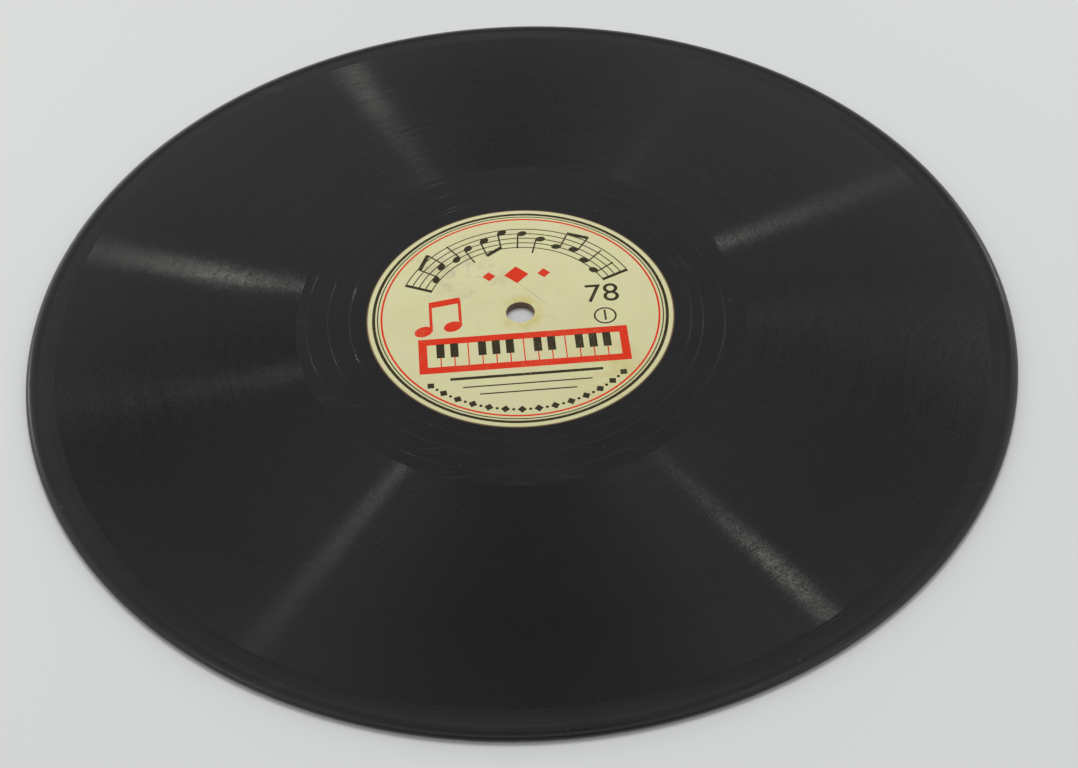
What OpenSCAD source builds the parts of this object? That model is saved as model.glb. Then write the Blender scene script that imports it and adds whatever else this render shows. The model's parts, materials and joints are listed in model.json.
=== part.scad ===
// Shellac record: one pressed disc with a paper label let into each face.
// Millimetres. The spindle axis is Z, and the record lies on z = 0 with its front face up.

/* [Disc] */
// Outside diameter
disc_diameter = 250; // [248:0.5:254]
// Thickness over the rim bead
rim_thickness = 2.4; // [2.2:0.1:3]
// Height of the rim bead above each face
bead_rise = 0.15; // [0.08:0.01:0.25]
// Width of the rim bead, from the outer edge to the foot of its slope
bead_width = 3.5; // [3:0.1:4]
// Width of the slope on the inner side of the rim bead
bead_slope = 1.4; // [0.8:0.1:1.6]
// Radius of the rounded outer edge
edge_radius = 1; // [0.5:0.05:1.1]

/* [Spindle hole] */
// Diameter of the hole through the disc and both labels
hole_diameter = 7.3; // [7.2:0.02:7.5]

/* [Labels] */
// Diameter of the paper labels
label_diameter = 79; // [74:0.5:82]
// Thickness of the paper
label_thickness = 0.15; // [0.1:0.01:0.25]
// Bond gap between the paper and the floor and wall of its seat
label_gap = 0.02; // [0.01:0.01:0.05]

/* [Recorded band] */
// Diameter of the first recorded turn
band_outer_diameter = 236; // [232:0.5:238]
// Diameter of the last recorded turn
band_inner_diameter = 115; // [113:0.5:120]
// Depth of the band below the face, the mean level of its fine grooves
band_depth = 0.05; // [0.03:0.01:0.07]

/* [Coarse grooves] */
// Width of the lead-in, lead-out and run-out grooves at the face
groove_width = 0.3; // [0.2:0.02:0.4]
// Depth of those grooves
groove_depth = 0.12; // [0.1:0.01:0.2]
// Distance that a lead groove runs on into the band
lead_overlap = 0.4; // [0.3:0.05:0.6]
// Land between the foot of the rim bead and the start of the lead-in
run_in_land = 0.25; // [0.15:0.05:0.5]
// Half turns of the lead-out
lead_out_half_turns = 5; // [3:1:6]
// Direction in which the lead-out leaves the band, degrees
lead_out_angle = 10; // [0:5:355]
// Diameter of the closed run-out groove
run_out_diameter = 87.4; // [86:0.2:92]

/* [Hidden] */
$fn = 180;
disc_radius = disc_diameter / 2;
hole_radius = hole_diameter / 2;
label_radius = label_diameter / 2;
band_outer_radius = band_outer_diameter / 2;
band_inner_radius = band_inner_diameter / 2;
run_out_radius = run_out_diameter / 2;
mid_height = rim_thickness / 2;
face_height = rim_thickness - bead_rise;
face_thickness = rim_thickness - 2 * bead_rise;
half_groove = groove_width / 2;
lead_in_half_turns = 2;
lead_in_start = disc_radius - bead_width - run_in_land - half_groove;
lead_in_end = band_outer_radius - lead_overlap;
lead_out_start = band_inner_radius + lead_overlap;
lead_out_end = run_out_radius + groove_width / 3;
cut_margin = 1;

shellac_black = [0.03, 0.03, 0.032];
label_cream = [0.8, 0.79, 0.61];

// Half of the rim's section above the middle plane, with its bead and rounded edge
module rim_half_section() {
    edge_centre = disc_radius - edge_radius;
    bead_foot = disc_radius - bead_width;
    half_face = face_thickness / 2;
    translate([edge_centre, mid_height - edge_radius])
        intersection() {
            circle(r = edge_radius);
            square(edge_radius);
        }
    translate([edge_centre, 0])
        square([edge_radius, mid_height - edge_radius]);
    translate([bead_foot, 0])
        square([edge_centre - bead_foot, half_face]);
    polygon([
        [bead_foot, half_face],
        [edge_centre, half_face],
        [edge_centre, mid_height],
        [bead_foot + bead_slope, mid_height]
    ]);
}

// Full section of the pressed disc, before its seats and grooves
module disc_section() {
    translate([hole_radius, -face_thickness / 2])
        square([disc_radius - bead_width - hole_radius, face_thickness]);
    rim_half_section();
    mirror([0, 1])
        rim_half_section();
}

// Section of a coarse groove whose middle runs at a given radius, its mouth level with the face
module groove_section(radius) {
    translate([radius, 0])
        polygon([[-half_groove, 0], [0, -groove_depth], [half_groove, 0]]);
}

// Spiral groove of half turns about two centres, each turn smaller than the last by one step
module spiral_groove(start_radius, end_radius, half_turns) {
    step = (start_radius - end_radius) / half_turns;
    for (i = [0 : half_turns - 1]) {
        second_side = i % 2;
        translate([(0.5 - second_side) * step, 0, 0])
            rotate([0, 0, second_side * 180])
                rotate_extrude(angle = 180)
                    groove_section(start_radius - (i + 0.5) * step);
    }
}

// Round seat that a label lies in, level with the face
module label_seat() {
    seat_depth = label_thickness + label_gap;
    translate([0, 0, -seat_depth])
        cylinder(r = label_radius + label_gap, h = seat_depth + cut_margin);
}

// Flat ring cut down from the face for the recorded band
module band_recess() {
    translate([0, 0, -band_depth])
        difference() {
            cylinder(r = band_outer_radius, h = band_depth + cut_margin);
            translate([0, 0, -cut_margin])
                cylinder(r = band_inner_radius, h = band_depth + 3 * cut_margin);
        }
}

// All that is pressed into one face, with that face at z = 0
module face_cuts() {
    label_seat();
    band_recess();
    rotate([0, 0, lead_out_angle]) {
        spiral_groove(lead_in_start, lead_in_end, lead_in_half_turns);
        spiral_groove(lead_out_start, lead_out_end, lead_out_half_turns);
    }
    rotate_extrude()
        groove_section(run_out_radius);
}

// Paper ring that fills a label seat
module label() {
    difference() {
        cylinder(r = label_radius, h = label_thickness);
        translate([0, 0, -cut_margin])
            cylinder(r = hole_radius, h = label_thickness + 2 * cut_margin);
    }
}

module shellac_disc() {
    color(shellac_black)
        difference() {
            translate([0, 0, mid_height])
                rotate_extrude()
                    disc_section();
            translate([0, 0, face_height])
                face_cuts();
            translate([0, 0, bead_rise])
                rotate([180, 0, 0])
                    face_cuts();
        }
}

module front_label() {
    color(label_cream)
        translate([0, 0, face_height - label_thickness])
            label();
}

module back_label() {
    color(label_cream)
        translate([0, 0, bead_rise])
            label();
}

shellac_disc();
front_label();
back_label();
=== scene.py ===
"""Shellac record: pressed disc with its spiral groove, two paper labels, their print and the stage."""

import json
import math
from contextlib import contextmanager

import bpy
import numpy as np
from bpy.props import FloatProperty, FloatVectorProperty, PointerProperty
from bpy.types import Operator, Panel, PropertyGroup
from mathutils import Matrix, Vector


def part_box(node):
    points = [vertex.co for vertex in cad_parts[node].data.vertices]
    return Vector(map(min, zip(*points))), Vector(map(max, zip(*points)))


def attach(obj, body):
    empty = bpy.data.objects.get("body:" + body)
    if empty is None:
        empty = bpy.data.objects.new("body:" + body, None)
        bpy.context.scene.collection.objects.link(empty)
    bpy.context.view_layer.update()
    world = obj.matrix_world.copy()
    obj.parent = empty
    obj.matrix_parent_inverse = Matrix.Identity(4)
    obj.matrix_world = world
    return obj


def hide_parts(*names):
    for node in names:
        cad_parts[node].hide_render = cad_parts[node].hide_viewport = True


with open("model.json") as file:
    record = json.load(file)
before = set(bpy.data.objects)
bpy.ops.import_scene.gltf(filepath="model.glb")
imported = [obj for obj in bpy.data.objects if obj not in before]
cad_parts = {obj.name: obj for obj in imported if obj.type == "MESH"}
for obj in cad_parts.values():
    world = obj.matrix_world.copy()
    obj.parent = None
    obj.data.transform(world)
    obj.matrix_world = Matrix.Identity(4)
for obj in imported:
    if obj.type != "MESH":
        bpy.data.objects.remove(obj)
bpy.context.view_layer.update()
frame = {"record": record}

bl_info = {
    "name": "Shellac record",
    "version": (1, 0, 0),
    "blender": (4, 5, 0),
    "location": "View3D > Sidebar > Record",
    "description": "Models a pressed shellac record with its spiral groove and printed paper labels",
    "category": "Mesh",
}

MM = 0.001
DISC_LOW, DISC_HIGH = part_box("shellac_disc")
FRONT_LABEL_LOW, FRONT_LABEL_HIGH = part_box("front_label")
BACK_LABEL_LOW, BACK_LABEL_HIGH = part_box("back_label")
SPINDLE_HOLE = next(m for m in frame["record"]["mounts"] if m["name"] == "spindle_hole")

# Steps of rings and sections
RING_STEPS = 96
BEAD_POINTS = 5
EDGE_POINTS = 9
PAPER_EDGE_POINTS = 3
PRESSED_RING_POINTS = 8
MERGE_DISTANCE = 1e-7
SMOOTH_ANGLE = math.radians(20)

# Turns of the lead-in, of its pointed start and of the groove's growth to the band's size
LEAD_IN_TURNS = 1
LEAD_IN_TAPER = 0.03
LEAD_GROWTH = 0.15
# Least slope of a groove's wall
GROOVE_WALL_ANGLE = math.radians(12)

# Arch of the staff, and its notes in steps above the lowest line
STAFF_LEFT = math.radians(156)
STAFF_RIGHT = math.radians(24)
STAFF_LINES = 5
MELODY = (1, 3, 2, 4, 5, 7, 6, 4, 2, 3, 1, 0)
MIDDLE_LINE = 4
NOTES_IN_BAR = 4
# Head, stem and beam of its notes as shares of the gap between lines
MELODY_HEAD = 1.05
MELODY_STEM = 3.2
MELODY_BEAM = 0.6
# Lean of a note's head, and lengths in a note as shares of the head's height
HEAD_LEAN = math.radians(22)
HEAD_LENGTH = 1.36
STEM_PLACE = 0.58
STEM_WIDTH = 0.22
# Overhang of a beam as a share of its width
BEAM_OVERHANG = 0.25
# Keys, and width and height of a short key as shares of a long one's
WHITE_KEYS = 14
BLACK_KEY_PLACES = (1, 2, 4, 5, 6, 8, 9, 11, 12, 13)
BLACK_KEY_SHARES = (0.58, 0.6)
# Row of lozenges and dots along the lower edge
ROW_SHAPES = 27
ROW_STEP = math.radians(3.5)
LOZENGE_CORNERS = 4
DOT_CORNERS = 16
# Distance below the hole, width and thickness of each rule to write on, in millimetres
WRITING_RULES = ((21.8, 38.0, 0.9), (24.8, 32.0, 0.4), (27.4, 24.0, 0.4))
# Places of the pair of notes, in millimetres
NOTE_PLACES = ((-25.0, -4.6), (-17.5, -3.4))
# Place along X and size of each lozenge above the hole, in millimetres
LOZENGES = ((-7.2, 3.4), (0.0, 6.4), (7.2, 3.4))
# Step between layers of ink, and size of text over the height of its numbers
INK_LAYER = 0.003 * MM
TEXT_SCALE = 1.4

# Cells of the recorded sound per radian and per turn
SOUND_AROUND = 380.0
SOUND_ACROSS = 1.1
# Distance over which the band's outermost turns are worn and given a painted sheen
WEAR_AND_SHEEN_REACH = 20 * MM
SHELLAC_IOR = 1.5
# Change of roughness with the loudness of the band, and from clear to dull places of the lands
LOUDNESS_SWING = 0.03
LAND_SWING = (-0.05, 0.06)
# Range of most values of a noise, and of the grain's
NOISE_RANGE = (0.3, 0.7)
GRAIN_RANGE = (0.35, 0.65)
# Distances from the hole's wall between which the bore's wear and painted light and the paper's brown
# inner edge fade
BORE_FADE = (0.02 * MM, 0.1 * MM)
INNER_CUT_FADE = (0.02 * MM, 0.08 * MM)
# Distances from the middle between which the scuffs round the hole fade
SCUFF_FADE = (5 * MM, 15 * MM)
# Distances from the outside between which the paper's brown outer edge grows
OUTER_CUT_FADE = (0.5 * MM, 0.3 * MM)
# Distance from the pressed ring at which its rubbed border ends
RING_FADE = 2 * MM
# Factors that leave out a place's height
FLAT = (1.0, 1.0, 0.0)
# Sizes of dust specks and width of their soft edge, as shares of a cell
SPECK_SIZES = (0.06, 0.22)
SPECK_EDGE = 0.06
# Direction in radians and stretch of each set of hairlines
HAIRLINE_SETS = ((0.35, 0.07), (1.5, 0.05), (2.4, 0.09))
SCUFF_TURN = math.radians(50)

# Azimuth, elevation and reach of the uneven patches of sky, in degrees
FRONT_PATCH = (270, 3, 56)
BACK_PATCH = (90, 52, 42)
SIDE_PATCH = (112, 9, 26)
OVERHEAD_PATCH = (270, 88, 20)
# Part of a patch's reach that has the full change
PATCH_CORE = 0.25
# Heights and depths in the sky between which the light low beyond the record fades
HORIZON_HEIGHTS = (0.1, 0.4)
HORIZON_DEPTHS = (-0.1, 0.5)
# Azimuth and elevation of the large soft light, in degrees
KEY_PLACE = (88, 74)
# Name, azimuth and elevation in degrees and share of the lamp power
LAMPS = (
    ("lamp_near_left", 215.5, 32.5, 0.53),
    ("lamp_near_right", 325.5, 21, 0.38),
    ("lamp_high_right", 331, 62, 0.27),
    ("lamp_far_right", 41, 24, 0.82),
    ("lamp_far_left", 156, 21.5, 1.5),
)
SENSOR_WIDTH = 36.0
CLIP_START = 0.01


# Settings


def quantity(description, default, unit="NONE"):
    return FloatProperty(description=description, default=default, unit=unit)


def length(description, default):
    return FloatProperty(description=description, default=default, min=0.0, precision=5, unit="LENGTH")


def share(description, default):
    return FloatProperty(description=description, default=default, min=0.0, max=1.0, subtype="FACTOR")


def angle(description, degrees):
    return quantity(description, math.radians(degrees), "ROTATION")


def colour(description, default):
    return FloatVectorProperty(
        description=description, default=default, min=0.0, max=1.0, subtype="COLOR"
    )


class DiscSizes(PropertyGroup):
    """Sizes of the pressed disc without its groove."""

    diameter: length("Outside diameter", DISC_HIGH.x - DISC_LOW.x)
    thickness: length("Thickness over the rim bead", DISC_HIGH.z - DISC_LOW.z)
    bead_rise: length("Height of the rim bead above each face", 0.15 * MM)
    bead_width: length("Width of the rim bead with its slope", 3.5 * MM)
    bead_slope: length("Width of the slope on the bead's inner side", 1.4 * MM)
    edge_width: length("Width over which the outer edge is rounded", 2.0 * MM)
    edge_height: length("Height of that rounding on each side", 1.1 * MM)
    hole_diameter: length("Diameter of the spindle hole", 2 * SPINDLE_HOLE["dims"]["r_mm"] * MM)
    seat_gap: length("Bond gap between a label and its seat", 0.02 * MM)


class GrooveSizes(PropertyGroup):
    """Course and section of the spiral groove on each face."""

    pitch: length("Distance between neighbouring turns in the band", 0.275 * MM)
    depth: length("Depth of the groove below the face", 0.133 * MM)
    lead_in_share: share("Size of the lead-in as a share of the band's groove", 0.3)
    lead_out_width: share("Width of the lead-out as a share of the band's groove", 0.9)
    lead_out_depth: share("Depth of the lead-out as a share of the band's groove", 0.73)
    band_outer_diameter: length("Diameter of the first recorded turn", 236 * MM)
    band_inner_diameter: length("Diameter of the last recorded turn", 115 * MM)
    lead_out_turns: quantity("Turns from the band to the run-out ring", 2.5)
    lead_out_angle: angle("Direction in which the lead-out leaves the band", 10)
    run_out_diameter: length("Diameter of the closed run-out groove", 87.4 * MM)


class LabelSizes(PropertyGroup):
    """Sizes of the paper labels."""

    diameter: length("Outside diameter of the paper", FRONT_LABEL_HIGH.x - FRONT_LABEL_LOW.x)
    thickness: length("Thickness of the paper", FRONT_LABEL_HIGH.z - FRONT_LABEL_LOW.z)
    edge_radius: length("Rounding of the cut edges", 0.07 * MM)
    ring_radius: length("Radius of the ring pressed round the hole", 4.5 * MM)
    ring_width: length("Width of that ring", 1.1 * MM)
    ring_rise: length("Height of that ring above the paper", 0.05 * MM)


class PrintSizes(PropertyGroup):
    """Layout of the print on the labels, measured from the middle of the hole."""

    turn: angle("Turn of the print on the paper", 3.4)
    ink_rise: length("Height of the ink above the paper", 0.012 * MM)
    ink_depth: length("Depth of the ink in the paper", 0.01 * MM)
    line_width: length("Width of thin lines", 0.3 * MM)
    border_inset: length("Distance of the broad border rule from the edge", 1.9 * MM)
    border_width: length("Width of the broad border rule", 0.8 * MM)
    thin_inset: length("Distance of the thin border rule from the edge", 2.9 * MM)
    red_inset: length("Distance of the red border rule from the edge", 3.9 * MM)
    red_width: length("Width of the red border rule", 0.5 * MM)
    row_inset: length("Distance of the row of lozenges and dots from the edge", 6.0 * MM)
    row_lozenge: length("Size of the lozenges in that row", 2.3 * MM)
    row_dot: length("Size of the dots in that row", 0.8 * MM)
    staff_radius: length("Radius of the lowest line of the staff", 24.5 * MM)
    staff_gap: length("Distance between the lines of the staff", 1.8 * MM)
    key_width: length("Width of a white key", 3.5 * MM)
    key_height: length("Height of a white key", 8 * MM)
    keys_drop: length("Distance of the keys' middle below the hole", 13.4 * MM)
    keys_frame: length("Width of the frame round the keys", 2.0 * MM)
    note_size: length("Height of the heads in the pair of notes", 3.5 * MM)
    note_stem: length("Length of the stems in the pair of notes", 9.4 * MM)
    note_beam: length("Width of the beam over the pair of notes", 2.1 * MM)
    lozenge_rise: length("Distance of the lozenges above the hole", 14 * MM)
    number_right: length("Distance of the numbers to the right of the hole", 21.5 * MM)
    number_height: length("Height of the speed number", 6.6 * MM)
    number_rise: length("Distance of the speed number above the hole", 4.6 * MM)
    side_height: length("Height of the side number", 3.8 * MM)
    side_drop: length("Distance of the side number below the hole", 3.4 * MM)
    side_ring: length("Radius of the ring round the side number", 2.7 * MM)


class Finishes(PropertyGroup):
    """Colours and gloss of the surfaces."""

    shellac: colour("Black of the shellac compound", (0.0062, 0.0062, 0.0066))
    # Dust colour, also used to paint a sheen on the rim bead and the band's outer turns
    dust: colour("Dust and scuffs on the shellac", (0.11, 0.105, 0.095))
    # Worn brown bore wall, made lighter as painted light falling into the hole
    bore: colour("Worn wall of the spindle hole", (0.14, 0.078, 0.048))
    # Shares of dust colour there: partly real wear, partly painted sheen standing in for their brighter
    # reflection
    band_wear_and_sheen: share("Share of dust colour in the band's outermost turns", 0.05)
    rim_wear_and_sheen: share("Share of dust colour on the rim bead", 0.06)
    band_roughness: share("Roughness of the innermost groove walls", 0.22)
    outer_gloss: share("Roughness of the outermost turns as a share of that", 0.75)
    band_grain: share("Swing of that roughness with the recorded sound", 0.16)
    lead_gloss: share("Roughness of the lead-out as a share of the band's", 0.64)
    land_roughness: share("Roughness of the smooth shellac", 0.3)
    paper: colour("Aged cream of the label paper", (0.69, 0.675, 0.375))
    paper_warm: colour("Warmer patches in the paper", (0.71, 0.63, 0.42))
    paper_edge: colour("Brown of the paper's cut edge", (0.09, 0.033, 0.013))
    stain: colour("Yellow stain in the paper", (0.56, 0.47, 0.13))
    smudge: colour("Grey smudges on the paper", (0.3, 0.29, 0.2))
    black_ink: colour("Black of the print", (0.03, 0.024, 0.01))
    red_ink: colour("Red of the print", (0.69, 0.03, 0.006))


class StageSettings(PropertyGroup):
    """Floor, light and camera."""

    floor: colour("Colour of the floor", (0.7, 0.713, 0.697))
    floor_cloud: colour("Colour of faint clouds in the floor", (0.6, 0.62, 0.6))
    floor_size: length("Side of the square floor", 40.0)
    sky: quantity("Light from the open sky", 0.74)
    sky_colour: colour("Tint of the sky's light", (0.97, 0.985, 1.0))
    horizon: quantity("Added light low beyond the record", 0.4)
    front_shade: share("How far the sky is darker behind the camera", 0.88)
    back_shade: share("How far the sky is darker beyond the record", 0.62)
    overhead_shade: share("How far the sky is darker overhead", 0.85)
    side_glow: quantity("How far the sky is brighter low beyond the left side", 0.7)
    key_power: quantity("Power of the large soft light", 12.2, "POWER")
    key_size: length("Diameter of that light", 0.9)
    key_distance: length("Distance of that light from the record", 1.8)
    lamp_power: quantity("Power of each small lamp", 0.05, "POWER")
    lamp_colour: colour("Colour of the small lamps", (1.0, 0.96, 0.86))
    lamp_size: length("Diameter of each small lamp", 0.02)
    lamp_distance: length("Distance of the small lamps from the record", 0.4)
    lens: quantity("Focal length of the camera", 57.015, "CAMERA")
    elevation: angle("Height of the camera above the floor as an angle", 47.09)
    roll: angle("Roll of the camera", -1.83)
    distance: length("Distance of the camera from the record", 439.1 * MM)
    shift_right: quantity("Camera's shift to its right", 4.73 * MM, "LENGTH")
    shift_up: quantity("Camera's shift upwards", -16.87 * MM, "LENGTH")


class RecordSettings(PropertyGroup):
    """All that a user may change."""

    disc: PointerProperty(type=DiscSizes)
    groove: PointerProperty(type=GrooveSizes)
    label: PointerProperty(type=LabelSizes)
    ink: PointerProperty(type=PrintSizes)
    finish: PointerProperty(type=Finishes)
    stage: PointerProperty(type=StageSettings)


# Shader nodes


def feed(tree, node, values):
    """Links or sets inputs of a node."""
    for socket, value in values.items():
        if isinstance(value, bpy.types.NodeSocket):
            tree.links.new(value, node.inputs[socket])
        else:
            node.inputs[socket].default_value = value


def place(tree, kind, values=None, **settings):
    """Adds a node with its settings, and links or sets its inputs."""
    node = tree.nodes.new(kind)
    for name, value in settings.items():
        setattr(node, name, value)
    feed(tree, node, values or {})
    return node


def calc(tree, operation, first, second=0.0):
    return place(tree, "ShaderNodeMath", {0: first, 1: second}, operation=operation).outputs[0]


def times(tree, first, second):
    return calc(tree, "MULTIPLY", first, second)


def vector_calc(tree, operation, values):
    """Outputs of a calculation with vectors: a vector as the first, or a number as Value."""
    return place(tree, "ShaderNodeVectorMath", values, operation=operation).outputs


def remap(tree, value, low, high, to_low=0.0, to_high=1.0):
    values = {"Value": value, "From Min": low, "From Max": high, "To Min": to_low, "To Max": to_high}
    return place(tree, "ShaderNodeMapRange", values).outputs["Result"]


def mix(tree, amount, first, second):
    """Blend of two colours, by the numbers of the sockets because several share a name."""
    values = {0: amount, 6: first, 7: second}
    return place(tree, "ShaderNodeMix", values, data_type="RGBA").outputs[2]


def noise(tree, vector, scale, detail=2.0, roughness=0.5, distortion=0.0):
    values = {
        "Vector": vector,
        "Scale": scale,
        "Detail": detail,
        "Roughness": roughness,
        "Distortion": distortion,
    }
    return place(tree, "ShaderNodeTexNoise", values).outputs["Fac"]


def rgba(colour_value):
    return (*colour_value, 1.0)


def tint(tree, base, colour_value, mask, strength):
    """Colour laid over another one where a mask allows it."""
    return mix(tree, times(tree, mask, strength), base, rgba(colour_value))


def new_group(name, numbers, outputs):
    """Shader node group that is given a vector and numbers, with the sockets at its two ends."""
    group = bpy.data.node_groups.new(name, "ShaderNodeTree")
    add_socket = group.interface.new_socket
    add_socket(name="Vector", in_out="INPUT", socket_type="NodeSocketVector")
    for socket, default in numbers.items():
        added = add_socket(name=socket, in_out="INPUT", socket_type="NodeSocketFloat")
        added.default_value = default
    for socket, kind in outputs.items():
        add_socket(name=socket, in_out="OUTPUT", socket_type="NodeSocket" + kind)
    given = group.nodes.new("NodeGroupInput").outputs
    return group, given, group.nodes.new("NodeGroupOutput").inputs


def use_group(tree, name, make, values):
    """Outputs of a node with the named group, which is built on its first use."""
    group = bpy.data.node_groups.get(name) or make(name)
    return place(tree, "ShaderNodeGroup", values, node_tree=group).outputs


def make_round_group(name):
    """Texture places that run round the spindle, counted per radian and per metre of radius."""
    outputs = {"Vector": "Vector", "Radius": "Float"}
    group, given, put = new_group(name, {"Around": 1.0, "Across": 1.0}, outputs)
    flat = vector_calc(group, "MULTIPLY", {0: given["Vector"], 1: FLAT})[0]
    radius = vector_calc(group, "LENGTH", {0: flat})["Value"]
    towards = vector_calc(group, "NORMALIZE", {0: flat})[0]
    round_place = vector_calc(group, "SCALE", {0: towards, "Scale": given["Around"]})[0]
    across = times(group, radius, given["Across"])
    lifted = place(group, "ShaderNodeCombineXYZ", {"Z": across}).outputs[0]
    total = vector_calc(group, "ADD", {0: round_place, 1: lifted})[0]
    group.links.new(total, put["Vector"])
    group.links.new(radius, put["Radius"])
    return group


def make_dust_group(name):
    """Mask of small specks, some cells of which stay clean."""
    group, given, put = new_group(name, {"Scale": 400.0, "Cover": 0.2}, {"Dust": "Float"})
    values = {"Vector": given["Vector"], "Scale": given["Scale"], "Randomness": 1.0}
    cells = place(group, "ShaderNodeTexVoronoi", values)
    draw = place(group, "ShaderNodeSeparateColor", {0: cells.outputs["Color"]})
    chosen = calc(group, "LESS_THAN", draw.outputs[0], given["Cover"])
    reach = remap(group, draw.outputs[1], 0.0, 1.0, *SPECK_SIZES)
    edge = calc(group, "SUBTRACT", reach, cells.outputs["Distance"])
    speck = remap(group, edge, 0.0, SPECK_EDGE)
    group.links.new(times(group, speck, chosen), put["Dust"])
    return group


def make_scratch_group(name):
    """Mask of broken hairlines that run in three directions."""
    group, given, put = new_group(name, {"Scale": 60.0, "Width": 0.012}, {"Scratches": "Float"})
    total = 0.0
    for turn, stretch in HAIRLINE_SETS:
        values = {
            "Vector": given["Vector"],
            "Rotation": (0.0, 0.0, turn),
            "Scale": (stretch, 1.0, 1.0),
        }
        turned = place(group, "ShaderNodeMapping", values).outputs[0]
        waves = noise(group, turned, given["Scale"], detail=1.0, distortion=0.4)
        off_middle = calc(group, "ABSOLUTE", calc(group, "SUBTRACT", waves, 0.5))
        line = calc(group, "LESS_THAN", off_middle, given["Width"])
        breaks = noise(group, turned, scale=420.0)
        kept = remap(group, breaks, low=0.56, high=0.66)
        total = calc(group, "MAXIMUM", times(group, line, kept), total)
    group.links.new(total, put["Scratches"])
    return group


def make_mottle_group(name):
    """Soft uneven patches, as handling leaves them."""
    group, given, put = new_group(name, {"Scale": 30.0}, {"Patches": "Float"})
    wide = noise(group, given["Vector"], given["Scale"], detail=5.0, roughness=0.62)
    group.links.new(remap(group, wide, *NOISE_RANGE), put["Patches"])
    return group


def new_material(name):
    """Material with an empty tree, its Principled shader and the object's own coordinates."""
    material = bpy.data.materials.new(name)
    material.use_nodes = True
    tree = material.node_tree
    tree.nodes.clear()
    shader = place(tree, "ShaderNodeBsdfPrincipled")
    place(tree, "ShaderNodeOutputMaterial", {"Surface": shader.outputs[0]})
    where = place(tree, "ShaderNodeTexCoord").outputs["Object"]
    return material, tree, shader, where


def bump(tree, height, strength, distance):
    values = {"Height": height, "Strength": strength, "Distance": distance}
    return place(tree, "ShaderNodeBump", values).outputs["Normal"]


def round_spindle(tree, where, around, across):
    values = {"Vector": where, "Around": around, "Across": across}
    return use_group(tree, "Round the spindle", make_round_group, values)


def dust_on(tree, where, scale, cover):
    values = {"Vector": where, "Scale": scale, "Cover": cover}
    return use_group(tree, "Dust specks", make_dust_group, values)["Dust"]


def scratches_on(tree, where, scale, width):
    values = {"Vector": where, "Scale": scale, "Width": width}
    return use_group(tree, "Hairline scratches", make_scratch_group, values)["Scratches"]


def mottle_on(tree, where, scale):
    values = {"Vector": where, "Scale": scale}
    return use_group(tree, "Handling mottle", make_mottle_group, values)["Patches"]


# Materials


def grooved_shellac(finish, groove):
    """Groove walls: glossy along the groove, with the grain of the recorded sound."""
    material, tree, shader, where = new_material("grooved shellac")
    first_turn = groove.band_outer_diameter / 2
    last_turn = groove.band_inner_diameter / 2
    sound = round_spindle(tree, where, SOUND_AROUND, SOUND_ACROSS / groove.pitch)
    radius = sound["Radius"]
    grain = noise(tree, sound["Vector"], scale=1.0, detail=3.0, roughness=0.7)
    passages = round_spindle(tree, where, around=2.0, across=700.0)
    loudness = noise(tree, passages["Vector"], scale=1.0, detail=3.0)
    dust = dust_on(tree, where, scale=1100.0, cover=0.03)
    mottle = mottle_on(tree, where, scale=26.0)
    # Outermost turns: dust colour for wear, partly a painted sheen that lifts their reflection
    outer_wear_and_sheen = remap(tree, radius, first_turn - WEAR_AND_SHEEN_REACH, first_turn, 0.0, finish.band_wear_and_sheen)
    worn_and_sheen = calc(tree, "ADD", outer_wear_and_sheen, remap(tree, mottle, 0.0, 1.0, to_high=0.02))
    clean = mix(tree, worn_and_sheen, rgba(finish.shellac), rgba(finish.dust))
    glossy, dull = (finish.band_roughness + swing for swing in (-LOUDNESS_SWING, LOUDNESS_SWING))
    gloss = remap(tree, loudness, *NOISE_RANGE, glossy, dull)
    sparkle = remap(tree, grain, *GRAIN_RANGE, -finish.band_grain, finish.band_grain)
    dulled = times(tree, dust, 0.3)
    roughness = calc(tree, "ADD", calc(tree, "ADD", gloss, sparkle), dulled)
    lead_out = last_turn - 2 * groove.pitch
    polish = remap(tree, radius, lead_out, last_turn - groove.pitch, finish.lead_gloss, 1.0)
    outward = remap(tree, radius, last_turn, first_turn, 1.0, finish.outer_gloss)
    smoothing = times(tree, polish, outward)
    feed(tree, shader, {
        "Base Color": tint(tree, clean, finish.dust, dust, strength=0.4),
        "Roughness": times(tree, roughness, smoothing),
        "Anisotropic": 1.0,
        "Anisotropic Rotation": 0.25,
        "IOR": SHELLAC_IOR,
        "Normal": bump(tree, grain, strength=1.0, distance=0.007 * MM),
    })
    return material


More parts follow.
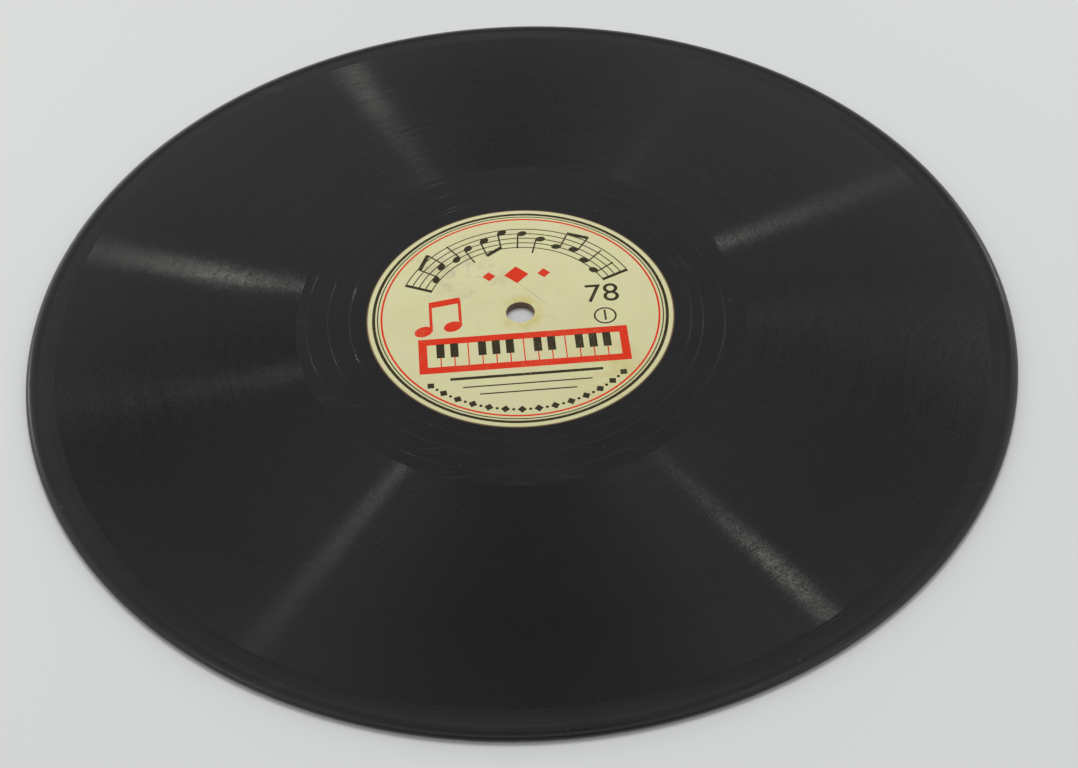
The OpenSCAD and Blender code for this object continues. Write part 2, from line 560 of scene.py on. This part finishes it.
def smooth_shellac(finish, disc):
    """Rim, lands and run-out: satin pressed shellac with hairlines, specks and handling marks."""
    material, tree, shader, where = new_material("smooth shellac")
    mottle = mottle_on(tree, where, scale=40.0)
    dust = dust_on(tree, where, scale=520.0, cover=0.1)
    hairlines = scratches_on(tree, where, scale=240.0, width=0.008)
    turning = round_spindle(tree, where, around=6.0, across=4000.0)
    radius = turning["Radius"]
    press = noise(tree, turning["Vector"], scale=1.0, detail=3.0)
    faint_lines = times(tree, hairlines, 0.09)
    marks = calc(tree, "MAXIMUM", faint_lines, times(tree, dust, 0.3))
    glossy, dull = (finish.land_roughness + swing for swing in LAND_SWING)
    gloss = remap(tree, mottle, 0.0, 1.0, glossy, dull)
    height = calc(tree, "ADD", press, times(tree, hairlines, -0.4))
    # Bore wall: worn brown colour, lightened as painted light falling into the hole
    bore_low, bore_high = (disc.hole_diameter / 2 + away for away in BORE_FADE)
    in_bore = remap(tree, radius, bore_low, bore_high, 1.0, 0.0)
    outside = disc.diameter / 2
    land = outside - 2 * disc.bead_width
    top = outside - 1.5 * disc.edge_width
    # Rim bead: dust colour for wear, partly a painted sheen that lifts its reflection
    rising = remap(tree, radius, land, top, 0.0, finish.rim_wear_and_sheen)
    falling = remap(tree, radius, top, outside - disc.edge_width / 2, 1.0, 0.0)
    worn_and_sheen = mix(tree, times(tree, rising, falling), rgba(finish.shellac), rgba(finish.dust))
    marked = mix(tree, marks, worn_and_sheen, rgba(finish.dust))
    feed(tree, shader, {
        "Base Color": mix(tree, in_bore, marked, rgba(finish.bore)),
        "Roughness": calc(tree, "ADD", gloss, times(tree, marks, 0.4)),
        "IOR": SHELLAC_IOR,
        "Normal": bump(tree, height, strength=0.25, distance=0.01 * MM),
    })
    return material


def near_place(tree, where, centre, reach):
    """Mask that is 1 at a place on the label and fades out at a distance from it."""
    offset = vector_calc(tree, "SUBTRACT", {0: where, 1: (*centre, 0.0)})[0]
    flat = vector_calc(tree, "MULTIPLY", {0: offset, 1: FLAT})[0]
    away = vector_calc(tree, "LENGTH", {0: flat})["Value"]
    return remap(tree, away, 0.0, reach, 1.0, 0.0)


def paper_fibres(tree, where):
    return noise(tree, where, scale=2600.0, detail=3.0, roughness=0.65, distortion=0.8)


def label_paper(finish, label, hole):
    """Aged cream paper: fibres, stains, smudges, brown cut edges and wear round the hole."""
    material, tree, shader, where = new_material("label paper")
    radius = round_spindle(tree, where, around=1.0, across=1.0)["Radius"]
    fibres = paper_fibres(tree, where)
    mottle = mottle_on(tree, where, scale=90.0)
    clouds = noise(tree, where, scale=210.0, detail=4.0, roughness=0.6)
    warmth = remap(tree, clouds, low=0.4, high=0.6)
    paper = tint(tree, rgba(finish.paper), finish.paper_warm, warmth, strength=0.6)
    paper = tint(tree, paper, finish.stain, mottle, strength=0.2)
    paper = tint(tree, paper, finish.smudge, remap(tree, fibres, low=0.35, high=0.75), strength=0.14)
    stain_place = near_place(tree, where, centre=(22 * MM, -21 * MM), reach=13 * MM)
    stain = times(tree, stain_place, remap(tree, clouds, low=0.42, high=0.62))
    paper = tint(tree, paper, finish.stain, stain, strength=0.75)
    smudge_place = near_place(tree, where, centre=(-15 * MM, 16 * MM), reach=17 * MM)
    smudge = times(tree, smudge_place, remap(tree, clouds, low=0.5, high=0.68))
    paper = tint(tree, paper, finish.smudge, smudge, strength=0.5)
    turning = {"Vector": where, "Rotation": (0.0, 0.0, SCUFF_TURN)}
    turned = place(tree, "ShaderNodeMapping", turning).outputs[0]
    near_hole = remap(tree, radius, *SCUFF_FADE, 1.0, 0.0)
    scuffs = times(tree, scratches_on(tree, turned, scale=300.0, width=0.012), near_hole)
    paper = tint(tree, paper, finish.smudge, scuffs, strength=0.6)
    ring_edge = label.ring_radius + label.ring_width / 2
    round_ring = remap(tree, radius, ring_edge, ring_edge + RING_FADE, 1.0, 0.0)
    rubbed = times(tree, round_ring, remap(tree, clouds, 0.4, 0.62, to_low=0.1, to_high=0.6))
    paper = mix(tree, rubbed, paper, rgba(finish.stain))
    outer_low, outer_high = (label.diameter / 2 - inset for inset in OUTER_CUT_FADE)
    inner_low, inner_high = (hole + away for away in INNER_CUT_FADE)
    outer_cut = remap(tree, radius, outer_low, outer_high)
    inner_cut = remap(tree, radius, inner_low, inner_high, 1.0, 0.0)
    cut_edge = calc(tree, "MAXIMUM", outer_cut, inner_cut)
    feed(tree, shader, {
        "Base Color": tint(tree, paper, finish.paper_edge, cut_edge, strength=0.9),
        "Roughness": remap(tree, mottle, 0.0, 1.0, to_low=0.5, to_high=0.66),
        "Specular IOR Level": 0.35,
        "Normal": bump(tree, calc(tree, "ADD", fibres, clouds), strength=0.3, distance=0.02 * MM),
    })
    return material


def label_ink(finish, name, ink):
    """Printing ink, rubbed through to the paper in places."""
    material, tree, shader, where = new_material(name)
    fibres = paper_fibres(tree, where)
    patches = mottle_on(tree, where, scale=160.0)
    handled = remap(tree, patches, 0.45, 1.0, to_low=0.06, to_high=0.5)
    rubbed = times(tree, remap(tree, fibres, low=0.52, high=0.74), handled)
    feed(tree, shader, {
        "Base Color": mix(tree, rubbed, rgba(ink), rgba(finish.paper)),
        "Roughness": remap(tree, patches, 0.0, 1.0, to_low=0.45, to_high=0.62),
        "Specular IOR Level": 0.2,
        "Normal": bump(tree, fibres, strength=0.25, distance=0.015 * MM),
    })
    return material


def pale_floor(stage):
    """Plain pale table top with a faint unevenness."""
    material, tree, shader, where = new_material("pale floor")
    cloud = noise(tree, where, scale=5.0, detail=3.0)
    haze = remap(tree, cloud, *NOISE_RANGE)
    feed(tree, shader, {
        "Base Color": tint(tree, rgba(stage.floor), stage.floor_cloud, haze, strength=0.05),
        "Roughness": remap(tree, cloud, *NOISE_RANGE, to_low=0.5, to_high=0.6),
        "Specular IOR Level": 0.25,
    })
    return material


# Pressed disc


def groove_course(disc, groove):
    """Turns at which the groove's course changes, and its radius there, from the bead to the run-out."""
    lead_in = disc.diameter / 2 - disc.bead_width
    band_outer = groove.band_outer_diameter / 2
    band_inner = groove.band_inner_diameter / 2
    full_turns = round((band_outer - band_inner) / groove.pitch)
    band_end = LEAD_IN_TURNS + full_turns + groove.lead_out_angle / math.tau
    turns = [0.0, LEAD_IN_TURNS, band_end, band_end + groove.lead_out_turns]
    return turns, [lead_in, band_outer, band_inner, groove.run_out_diameter / 2]


def groove_points(disc, groove, turn_share):
    """Radius and depth of the groove's lips and bottoms at a share of a turn, from the outermost in."""
    course_turns, course_radii = groove_course(disc, groove)
    turn_count = math.ceil(course_turns[-1]) + 1
    turns = np.arange(turn_count) + turn_share
    middles = np.interp(turns, course_turns, course_radii)
    band_start, band_end = course_turns[1:3]
    marks = [0.0, LEAD_IN_TAPER, band_start - LEAD_GROWTH, band_start, band_end, band_end + LEAD_GROWTH]
    shares = [0.0, groove.lead_in_share, groove.lead_in_share, 1.0, 1.0]
    halves = np.interp(turns, marks, [*shares, groove.lead_out_width]) * groove.pitch / 2
    depths = np.interp(turns, marks, [*shares, groove.lead_out_depth]) * groove.depth
    points = [(middles[0] + halves[0], 0.0)]
    for turn in range(turn_count - 1):
        points.append((middles[turn], -depths[turn]))
        gap = middles[turn] - middles[turn + 1]
        reach = halves[turn] + halves[turn + 1]
        meeting = middles[turn] - halves[turn] * min(1.0, gap / reach)
        ridge = (meeting, -depths[turn] * max(0.0, 1.0 - gap / reach))
        parted = turn < LEAD_IN_TURNS or turn + 2 > band_end
        if not parted:
            points.append(ridge)
        elif gap < reach:
            # Two points all the same, so that every section has the same count
            points.extend([ridge, ridge])
        else:
            points.append((middles[turn] - halves[turn], 0.0))
            points.append((middles[turn + 1] + halves[turn + 1], 0.0))
    points.append((middles[-1], -depths[-1]))
    points.append((middles[-1] - halves[-1], 0.0))
    return points


def quarter_turn(steps):
    """Angles of even steps from zero to a right angle."""
    return [math.pi / 2 * i / steps for i in range(steps + 1)]


def face_outline(settings, turn_share):
    """Radius and height above the middle plane, from the spindle hole over one face to the rim."""
    disc = settings.disc
    half = disc.thickness / 2
    face = half - disc.bead_rise
    seat_floor = face - settings.label.thickness - disc.seat_gap
    seat_radius = settings.label.diameter / 2 + disc.seat_gap
    radius = disc.diameter / 2
    foot = radius - disc.bead_width
    edge_start = radius - disc.edge_width
    points = [(disc.hole_diameter / 2, seat_floor), (seat_radius, seat_floor), (seat_radius, face)]
    points += [(r, face + z) for r, z in reversed(groove_points(disc, settings.groove, turn_share))]
    for i in range(BEAD_POINTS + 1):
        along = i / BEAD_POINTS
        rise = disc.bead_rise * (1 - math.cos(math.pi * along)) / 2
        points.append((foot + disc.bead_slope * along, face + rise))
    for bend in quarter_turn(EDGE_POINTS):
        points.append((
            edge_start + disc.edge_width * math.sin(bend),
            half - disc.edge_height * (1 - math.cos(bend)),
        ))
    return points


def disc_section(settings, turn_share):
    """Closed section of the disc at a share of a turn. The back is the front turned about X."""
    middle = settings.disc.thickness / 2
    front = face_outline(settings, turn_share)
    back = face_outline(settings, 1.0 - turn_share)
    return [(r, middle + z) for r, z in front] + [(r, middle - z) for r, z in reversed(back)]


@contextmanager
def edit_mode():
    """Edit mode of the active piece for the length of a block."""
    bpy.ops.object.mode_set(mode="EDIT")
    yield
    bpy.ops.object.mode_set(mode="OBJECT")


def spun_piece(name, sections):
    """Spins a closed section round the spindle and lays each ring of points on its own section."""
    section_rings = np.array(sections)
    steps = len(sections) - 1
    turns = np.linspace(0.0, math.tau, steps + 1)[:, None]
    radii = section_rings[:, :, 0]
    places = np.stack([radii * np.cos(turns), radii * np.sin(turns), section_rings[:, :, 1]], axis=-1)
    bpy.ops.object.select_all(action="DESELECT")
    bpy.ops.mesh.primitive_circle_add(vertices=len(sections[0]), radius=radii.max())
    piece = bpy.context.active_object
    piece.name = name
    piece.data.name = name
    piece.data.vertices.foreach_set("co", places[0].ravel())
    with edit_mode():
        bpy.ops.mesh.select_all(action="SELECT")
        bpy.ops.mesh.spin(
            steps=steps, angle=-math.tau, center=(0, 0, 0), axis=(0, 0, 1), use_auto_merge=False
        )
    piece.data.vertices.foreach_set("co", places.ravel())
    with edit_mode():
        bpy.ops.mesh.select_all(action="SELECT")
        bpy.ops.mesh.remove_doubles(threshold=MERGE_DISTANCE)
        bpy.ops.mesh.select_all(action="SELECT")
        bpy.ops.mesh.normals_make_consistent(inside=False)
    return piece


def read_all(items, name, width, kind=float):
    """Rows of a value of all points, edges or faces of a mesh."""
    values = np.empty(len(items) * width, dtype=kind)
    items.foreach_get(name, values)
    return values.reshape(-1, width)


def round_off_rim(piece, foot):
    """Halves the steps round the rim and moves the new points out to the circle."""
    mesh = piece.data
    places = read_all(mesh.vertices, "co", 3)
    radii = np.hypot(places[:, 0], places[:, 1])
    ends = read_all(mesh.edges, "vertices", 2, np.int32)
    level = np.abs(np.diff(places[ends, 2], axis=1)[:, 0]) < MERGE_DISTANCE
    ring = np.abs(np.diff(radii[ends], axis=1)[:, 0]) < MERGE_DISTANCE
    outside = radii[ends].min(axis=1) > foot - MERGE_DISTANCE
    with edit_mode():
        bpy.ops.mesh.select_mode(type="EDGE")
        bpy.ops.mesh.select_all(action="DESELECT")
    mesh.edges.foreach_set("select", level & ring & outside)
    with edit_mode():
        bpy.ops.mesh.subdivide(number_cuts=1)
        bpy.ops.mesh.select_mode(type="VERT")
    places = read_all(mesh.vertices, "co", 3)
    half_step = math.pi / RING_STEPS
    counts = np.rint(np.arctan2(places[:, 1], places[:, 0]) / half_step).astype(int)
    between = (counts % 2 == 1) & (np.hypot(places[:, 0], places[:, 1]) > foot * math.cos(half_step) - MM)
    places[between, :2] /= math.cos(half_step)
    mesh.vertices.foreach_set("co", places.ravel())
    mesh.update()


def pick(piece):
    """Makes a piece the active one and the only one selected."""
    bpy.ops.object.select_all(action="DESELECT")
    piece.select_set(True)
    bpy.context.view_layer.objects.active = piece


def finish_piece(piece, *materials):
    """Smooth shading over gentle bends, and the piece's materials."""
    pick(piece)
    bpy.ops.object.shade_smooth_by_angle(angle=SMOOTH_ANGLE)
    piece.data.materials.clear()
    for material in materials:
        piece.data.materials.append(material)


def mark_groove_walls(piece, foot, seat_radius, wall_slot):
    """Gives the sloping faces between the label and the rim bead the groove's material."""
    mesh = piece.data
    normals = read_all(mesh.polygons, "normal", 3)
    middles = read_all(mesh.polygons, "center", 3)
    radii = np.hypot(middles[:, 0], middles[:, 1])
    sloping = np.abs(normals[:, 2]) < math.cos(GROOVE_WALL_ANGLE)
    walls = sloping & (radii > seat_radius + MM) & (radii < foot)
    mesh.polygons.foreach_set("material_index", np.where(walls, wall_slot, 0).astype(np.int32))
    mesh.update()


class RECORD_OT_press_disc(Operator):
    """Press the disc with its rim bead, label seats, spindle hole and a spiral groove on each face"""

    bl_idname = "record.press_disc"
    bl_label = "Press disc"

    def execute(self, context):
        settings = context.scene.shellac_record
        sections = [disc_section(settings, step / RING_STEPS) for step in range(RING_STEPS + 1)]
        disc = spun_piece("pressed_disc", sections)
        foot = settings.disc.diameter / 2 - settings.disc.bead_width
        round_off_rim(disc, foot)
        smooth = smooth_shellac(settings.finish, settings.disc)
        finish_piece(disc, smooth, grooved_shellac(settings.finish, settings.groove))
        mark_groove_walls(disc, foot, settings.label.diameter / 2, wall_slot=1)
        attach(disc, "root")
        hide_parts("shellac_disc")
        return {"FINISHED"}


# Paper labels


def label_section(settings):
    """Closed section of a label with its lower side at z = 0."""
    label = settings.label
    hole = settings.disc.hole_diameter / 2
    outside = label.diameter / 2
    top = label.thickness
    rounding = label.edge_radius
    points = [(hole, 0.0), (outside, 0.0)]
    for bend in quarter_turn(PAPER_EDGE_POINTS):
        points.append((
            outside - rounding * (1 - math.cos(bend)), top - rounding * (1 - math.sin(bend))
        ))
    for i in range(PRESSED_RING_POINTS + 1):
        across = 1 - 2 * i / PRESSED_RING_POINTS
        rise = label.ring_rise * (1 + math.cos(math.pi * across)) / 2
        points.append((label.ring_radius + across * label.ring_width / 2, top + rise))
    for bend in quarter_turn(PAPER_EDGE_POINTS):
        points.append((hole + rounding * (1 - math.sin(bend)), top - rounding * (1 - math.cos(bend))))
    return points


def put_in_place(piece, height, faces_down):
    """Lifts a piece made on z = 0 to its height, turned over about X where it faces down."""
    if faces_down:
        piece.data.transform(Matrix.Rotation(math.pi, 4, "X"))
    piece.data.transform(Matrix.Translation((0.0, 0.0, height)))
    piece.data.update()


class RECORD_OT_lay_labels(Operator):
    """Lay a paper label into the seat of each face"""

    bl_idname = "record.lay_labels"
    bl_label = "Lay labels"

    def execute(self, context):
        settings = context.scene.shellac_record
        paper = label_paper(settings.finish, settings.label, settings.disc.hole_diameter / 2)
        sections = [label_section(settings)] * (RING_STEPS + 1)
        for node, height, faces_down in (
            ("front_label", FRONT_LABEL_LOW.z, False),
            ("back_label", BACK_LABEL_HIGH.z, True),
        ):
            piece = spun_piece(node + "_paper", sections)
            put_in_place(piece, height, faces_down)
            finish_piece(piece, paper)
            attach(piece, "root")
            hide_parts(node)
        return {"FINISHED"}


# Print on the labels


def begin_print(name):
    """Empty mesh object, picked for shapes to be added to it."""
    piece = bpy.data.objects.new(name, bpy.data.meshes.new(name))
    bpy.context.scene.collection.objects.link(piece)
    pick(piece)
    return piece


def add_ring(radius, width, centre=(0.0, 0.0)):
    """Flat ring, left selected."""
    bpy.ops.mesh.primitive_circle_add(
        vertices=RING_STEPS, radius=radius + width / 2, location=(*centre, 0.0)
    )
    inner = (radius - width / 2) / (radius + width / 2)
    bpy.ops.mesh.extrude_edges_indiv()
    bpy.ops.transform.resize(value=(inner, inner, 1.0), center_override=(*centre, 0.0))


def shape_up(centre, size, turn, height):
    """Sizes the new shape and turns it anticlockwise about its middle."""
    middle = (*centre, height)
    bpy.ops.transform.resize(value=(size[0], size[1], 1.0), center_override=middle)
    bpy.ops.transform.rotate(value=-turn, orient_axis="Z", center_override=middle)


def add_oval(centre, size, turn=0.0, corners=20, height=0.0):
    bpy.ops.mesh.primitive_circle_add(
        vertices=corners, radius=0.5, fill_type="NGON", location=(*centre, height)
    )
    shape_up(centre, size, turn, height)


def add_bar(centre, size, turn=0.0, height=0.0):
    bpy.ops.mesh.primitive_plane_add(size=1.0, location=(*centre, height))
    shape_up(centre, size, turn, height)


def polar(radius, turn):
    return Vector((radius * math.cos(turn), radius * math.sin(turn)))


def add_staff(ink):
    """Arched lines over the hole, closed by a bar line at each end."""
    for line in range(STAFF_LINES):
        add_ring(ink.staff_radius + line * ink.staff_gap, ink.line_width)
    for end, side in ((STAFF_RIGHT, -1.0), (STAFF_LEFT, 1.0)):
        across = polar(side, end + math.pi / 2)
        bpy.ops.mesh.select_all(action="SELECT")
        bpy.ops.mesh.bisect(plane_co=(0, 0, 0), plane_no=(*across, 0.0), clear_outer=True)
    height = (STAFF_LINES - 1) * ink.staff_gap
    for end in (STAFF_RIGHT, STAFF_LEFT):
        middle = polar(ink.staff_radius + height / 2, end)
        add_bar(middle, (height + ink.line_width, 3 * ink.line_width), end, INK_LAYER)


def add_note(centre, upright, size, stem, height, side=1.0):
    """Oval head with a stem, up at its right or, where side is -1, down at its left."""
    up = polar(side, upright)
    right = Vector((up.y, -up.x))
    turn = upright - math.pi / 2
    add_oval(centre, (HEAD_LENGTH * size, size), turn + HEAD_LEAN, height=height)
    foot = centre + right * STEM_PLACE * size
    add_bar(foot + up * stem / 2, (STEM_WIDTH * size, stem), turn, height + INK_LAYER)
    return foot + up * stem


def add_beam(first, second, width, height):
    """Bar over the tips of two stems."""
    along = second - first
    turn = math.atan2(along.y, along.x)
    add_bar((first + second) / 2, (along.length + BEAM_OVERHANG * width, width), turn, height)


def add_melody(ink):
    """Notes that climb and fall on the staff, with a beam over the first two of each bar."""
    step = (STAFF_LEFT - STAFF_RIGHT) / (len(MELODY) + 1)
    size = MELODY_HEAD * ink.staff_gap
    stem = MELODY_STEM * ink.staff_gap
    tips = []
    for i, degree in enumerate(MELODY):
        turn = STAFF_LEFT - (i + 1) * step
        centre = polar(ink.staff_radius + degree * ink.staff_gap / 2, turn)
        side = 1.0 if degree < MIDDLE_LINE else -1.0
        tips.append(add_note(centre, turn, size, stem, INK_LAYER, side))
    for first, second in zip(tips[0::NOTES_IN_BAR], tips[1::NOTES_IN_BAR]):
        add_beam(first, second, MELODY_BEAM * ink.staff_gap, 3 * INK_LAYER)


def add_black_keys(ink):
    """Short keys over the lines between some of the white ones."""
    size = (BLACK_KEY_SHARES[0] * ink.key_width, BLACK_KEY_SHARES[1] * ink.key_height)
    top = -ink.keys_drop + ink.key_height / 2
    for key in BLACK_KEY_PLACES:
        along = (key - WHITE_KEYS / 2) * ink.key_width
        add_bar((along, top - size[1] / 2), size, height=INK_LAYER)


def add_white_keys(ink):
    """Row of keys left as bare paper between thin lines, in a frame."""
    middle = (0.0, -ink.keys_drop)
    width = WHITE_KEYS * ink.key_width
    bpy.ops.mesh.primitive_grid_add(
        x_subdivisions=WHITE_KEYS, y_subdivisions=1, size=1.0, location=(*middle, 0.0)
    )
    shape_up(middle, (width, ink.key_height), 0.0, 0.0)
    bpy.ops.mesh.region_to_loop()
    bpy.ops.mesh.extrude_edges_indiv()
    framed = (1 + 2 * ink.keys_frame / width, 1 + 2 * ink.keys_frame / ink.key_height)
    shape_up(middle, framed, 0.0, 0.0)
    bpy.ops.mesh.select_all(action="INVERT")
    bpy.ops.mesh.inset(thickness=ink.line_width / 2, use_individual=True)
    bpy.ops.mesh.delete(type="FACE")
    bpy.ops.mesh.select_mode(type="VERT")


def add_black_shapes(ink, outside):
    """Border rules, staff with its notes, short keys, rules to write on and a row of lozenges and dots."""
    add_staff(ink)
    add_melody(ink)
    add_black_keys(ink)
    add_ring(outside - ink.border_inset, ink.border_width)
    add_ring(outside - ink.thin_inset, ink.line_width)
    for drop, width, thickness in WRITING_RULES:
        add_bar((0.0, -drop * MM), (width * MM, thickness * MM))
    for i in range(ROW_SHAPES):
        turn = (i - ROW_SHAPES // 2) * ROW_STEP - math.pi / 2
        corners, size = (DOT_CORNERS, ink.row_dot) if i % 2 else (LOZENGE_CORNERS, ink.row_lozenge)
        add_oval(polar(outside - ink.row_inset, turn), (size, size), turn, corners)
    add_ring(ink.side_ring, 1.5 * ink.line_width, (ink.number_right, -ink.side_drop))


def add_red_shapes(ink, outside):
    """Framed keys below the hole, a pair of notes beside it, lozenges above it and a border rule."""
    add_white_keys(ink)
    tips = []
    for x, y in NOTE_PLACES:
        tips.append(add_note(Vector((x * MM, y * MM)), math.pi / 2, ink.note_size, ink.note_stem, 0.0))
    add_beam(*tips, ink.note_beam, 2 * INK_LAYER)
    for x, size in LOZENGES:
        add_oval((x * MM, ink.lozenge_rise), (size * MM, size * MM), corners=LOZENGE_CORNERS)
    add_ring(outside - ink.red_inset, ink.red_width)


def add_number(piece, text, centre, height):
    """Joins a plain number to a print."""
    bpy.ops.object.select_all(action="DESELECT")
    bpy.ops.object.text_add(location=(*centre, 0.0))
    number = bpy.context.active_object
    number.data.body = text
    number.data.align_x = "CENTER"
    number.data.align_y = "CENTER"
    number.data.size = TEXT_SCALE * height
    bpy.ops.object.convert(target="MESH")
    piece.select_set(True)
    bpy.context.view_layer.objects.active = piece
    bpy.ops.object.join()


def finish_print(piece, ink, material):
    """Turns flat shapes up, thickens them into closed ink and puts them on z = 0 as the paper's face."""
    mesh = piece.data
    with edit_mode():
        bpy.ops.mesh.select_all(action="DESELECT")
        bpy.ops.mesh.select_mode(type="FACE")
    for face in mesh.polygons:
        face.select = face.normal.z < 0
    with edit_mode():
        bpy.ops.mesh.flip_normals()
        bpy.ops.mesh.select_all(action="SELECT")
        bpy.ops.mesh.remove_doubles(threshold=MERGE_DISTANCE)
        bpy.ops.mesh.select_mode(type="VERT")
    body = piece.modifiers.new("ink body", "SOLIDIFY")
    body.thickness = ink.ink_rise + ink.ink_depth
    body.offset = -1.0
    bpy.ops.object.modifier_apply(modifier=body.name)
    piece.data.transform(Matrix.Rotation(ink.turn, 4, "Z"))
    piece.data.transform(Matrix.Translation((0.0, 0.0, ink.ink_rise)))
    finish_piece(piece, material)


class RECORD_OT_print_labels(Operator):
    """Print both labels in black and red"""

    bl_idname = "record.print_labels"
    bl_label = "Print labels"

    def execute(self, context):
        settings = context.scene.shellac_record
        ink = settings.ink
        outside = settings.label.diameter / 2
        black = label_ink(settings.finish, "black ink", settings.finish.black_ink)
        red = label_ink(settings.finish, "red ink", settings.finish.red_ink)
        for node, height, faces_down, side in (
            ("front_label", FRONT_LABEL_HIGH.z, False, "1"),
            ("back_label", BACK_LABEL_LOW.z, True, "2"),
        ):
            black_print = begin_print(node + "_black_print")
            with edit_mode():
                add_black_shapes(ink, outside)
            add_number(black_print, "78", (ink.number_right, ink.number_rise), ink.number_height)
            add_number(black_print, side, (ink.number_right, -ink.side_drop), ink.side_height)
            finish_print(black_print, ink, black)
            red_print = begin_print(node + "_red_print")
            with edit_mode():
                add_red_shapes(ink, outside)
            finish_print(red_print, ink, red)
            for piece in (black_print, red_print):
                put_in_place(piece, height, faces_down)
                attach(piece, "root")
        return {"FINISHED"}


# Stage


def direction(azimuth, elevation):
    """Unit vector towards a place in the sky, from angles in degrees."""
    turn = math.radians(azimuth)
    lift = math.radians(elevation)
    return Vector((math.cos(lift) * math.cos(turn), math.cos(lift) * math.sin(turn), math.sin(lift)))


def add_lamp(name, azimuth, elevation, distance, power, size):
    """Round area lamp that shines on the record from a direction."""
    bpy.ops.object.light_add(type="AREA")
    lamp = bpy.context.active_object
    lamp.name = name
    lamp.data.shape = "DISK"
    lamp.data.size = size
    lamp.data.energy = power
    lamp.visible_camera = False
    lamp.location = distance * direction(azimuth, elevation)
    lamp.rotation_euler = (-lamp.location).to_track_quat("-Z", "Y").to_euler()
    return lamp


def sky_patch(tree, upwards, patch, change):
    """Factor of light that grows by a share, or falls where it is below 0, round a place in the sky."""
    azimuth, elevation, degrees = patch
    reach = math.radians(degrees)
    nearness = vector_calc(tree, "DOT_PRODUCT", {0: upwards, 1: direction(azimuth, elevation)})["Value"]
    return remap(tree, nearness, math.cos(reach), math.cos(PATCH_CORE * reach), 1.0, 1.0 + change)


def soft_sky(stage):
    """Even sky, darker overhead, behind the camera and high beyond the record, brighter low beyond it."""
    world = bpy.data.worlds.new("soft sky")
    world.use_nodes = True
    tree = world.node_tree
    upwards = place(tree, "ShaderNodeTexCoord").outputs["Generated"]
    open_sky = stage.sky
    for patch, shade in (
        (FRONT_PATCH, stage.front_shade),
        (BACK_PATCH, stage.back_shade),
        (OVERHEAD_PATCH, stage.overhead_shade),
    ):
        open_sky = times(tree, sky_patch(tree, upwards, patch, -shade), open_sky)
    split = place(tree, "ShaderNodeSeparateXYZ", {0: upwards}).outputs
    low = remap(tree, split["Z"], *HORIZON_HEIGHTS, stage.horizon, 0.0)
    beyond = remap(tree, split["Y"], *HORIZON_DEPTHS)
    glowing = calc(tree, "ADD", open_sky, times(tree, low, beyond))
    light = times(tree, glowing, sky_patch(tree, upwards, SIDE_PATCH, stage.side_glow))
    feed(tree, tree.nodes["Background"], {"Color": rgba(stage.sky_colour), "Strength": light})
    return world


def add_camera(stage):
    """Camera at the photograph's viewing angle."""
    back = Vector((0.0, -math.cos(stage.elevation), math.sin(stage.elevation)))
    level = Vector((1.0, 0.0, 0.0))
    upright = back.cross(level)
    right = math.cos(stage.roll) * level + math.sin(stage.roll) * upright
    up = back.cross(right)
    place_of_camera = back * stage.distance + right * stage.shift_right + up * stage.shift_up
    bpy.ops.object.camera_add()
    camera = bpy.context.active_object
    camera.name = "camera"
    camera.data.sensor_fit = "HORIZONTAL"
    camera.data.sensor_width = SENSOR_WIDTH
    camera.data.lens = stage.lens
    camera.data.clip_start = CLIP_START
    turned = Matrix((right, up, back)).transposed().to_4x4()
    camera.matrix_world = Matrix.Translation(place_of_camera) @ turned
    bpy.context.scene.camera = camera


class RECORD_OT_set_stage(Operator):
    """Set the floor, the light and the camera"""

    bl_idname = "record.set_stage"
    bl_label = "Set stage"

    def execute(self, context):
        stage = context.scene.shellac_record.stage
        bpy.ops.object.select_all(action="DESELECT")
        bpy.ops.mesh.primitive_plane_add(size=stage.floor_size)
        floor = context.active_object
        floor.name = "floor"
        floor.data.materials.append(pale_floor(stage))
        for name, azimuth, elevation, power in LAMPS:
            strength = power * stage.lamp_power
            lamp = add_lamp(name, azimuth, elevation, stage.lamp_distance, strength, stage.lamp_size)
            lamp.data.color = stage.lamp_colour
        key = add_lamp("key", *KEY_PLACE, stage.key_distance, stage.key_power, stage.key_size)
        key.visible_glossy = False
        context.scene.world = soft_sky(stage)
        add_camera(stage)
        context.scene.view_settings.view_transform = "Standard"
        return {"FINISHED"}


class RECORD_PT_panel(Panel):
    """Steps and settings of the record"""

    bl_idname = "RECORD_PT_panel"
    bl_label = "Shellac record"
    bl_space_type = "VIEW_3D"
    bl_region_type = "UI"
    bl_category = "Record"

    def draw(self, context):
        settings = context.scene.shellac_record
        for operator in OPERATORS:
            self.layout.operator(operator.bl_idname)
        for group in ("disc", "groove", "label", "ink", "finish", "stage"):
            box = self.layout.box()
            box.label(text=group.capitalize())
            values = getattr(settings, group)
            for name in values.__annotations__:
                box.prop(values, name, text=name.replace("_", " ").capitalize())


OPERATORS = (RECORD_OT_press_disc, RECORD_OT_lay_labels, RECORD_OT_print_labels, RECORD_OT_set_stage)
CLASSES = (
    DiscSizes,
    GrooveSizes,
    LabelSizes,
    PrintSizes,
    Finishes,
    StageSettings,
    RecordSettings,
    *OPERATORS,
    RECORD_PT_panel,
)


def register():
    for cls in CLASSES:
        bpy.utils.register_class(cls)
    bpy.types.Scene.shellac_record = PointerProperty(type=RecordSettings)


def unregister():
    del bpy.types.Scene.shellac_record
    for cls in reversed(CLASSES):
        bpy.utils.unregister_class(cls)


def main():
    register()
    bpy.ops.record.press_disc()
    bpy.ops.record.lay_labels()
    bpy.ops.record.print_labels()
    bpy.ops.record.set_stage()


if __name__ == "__main__":
    main()
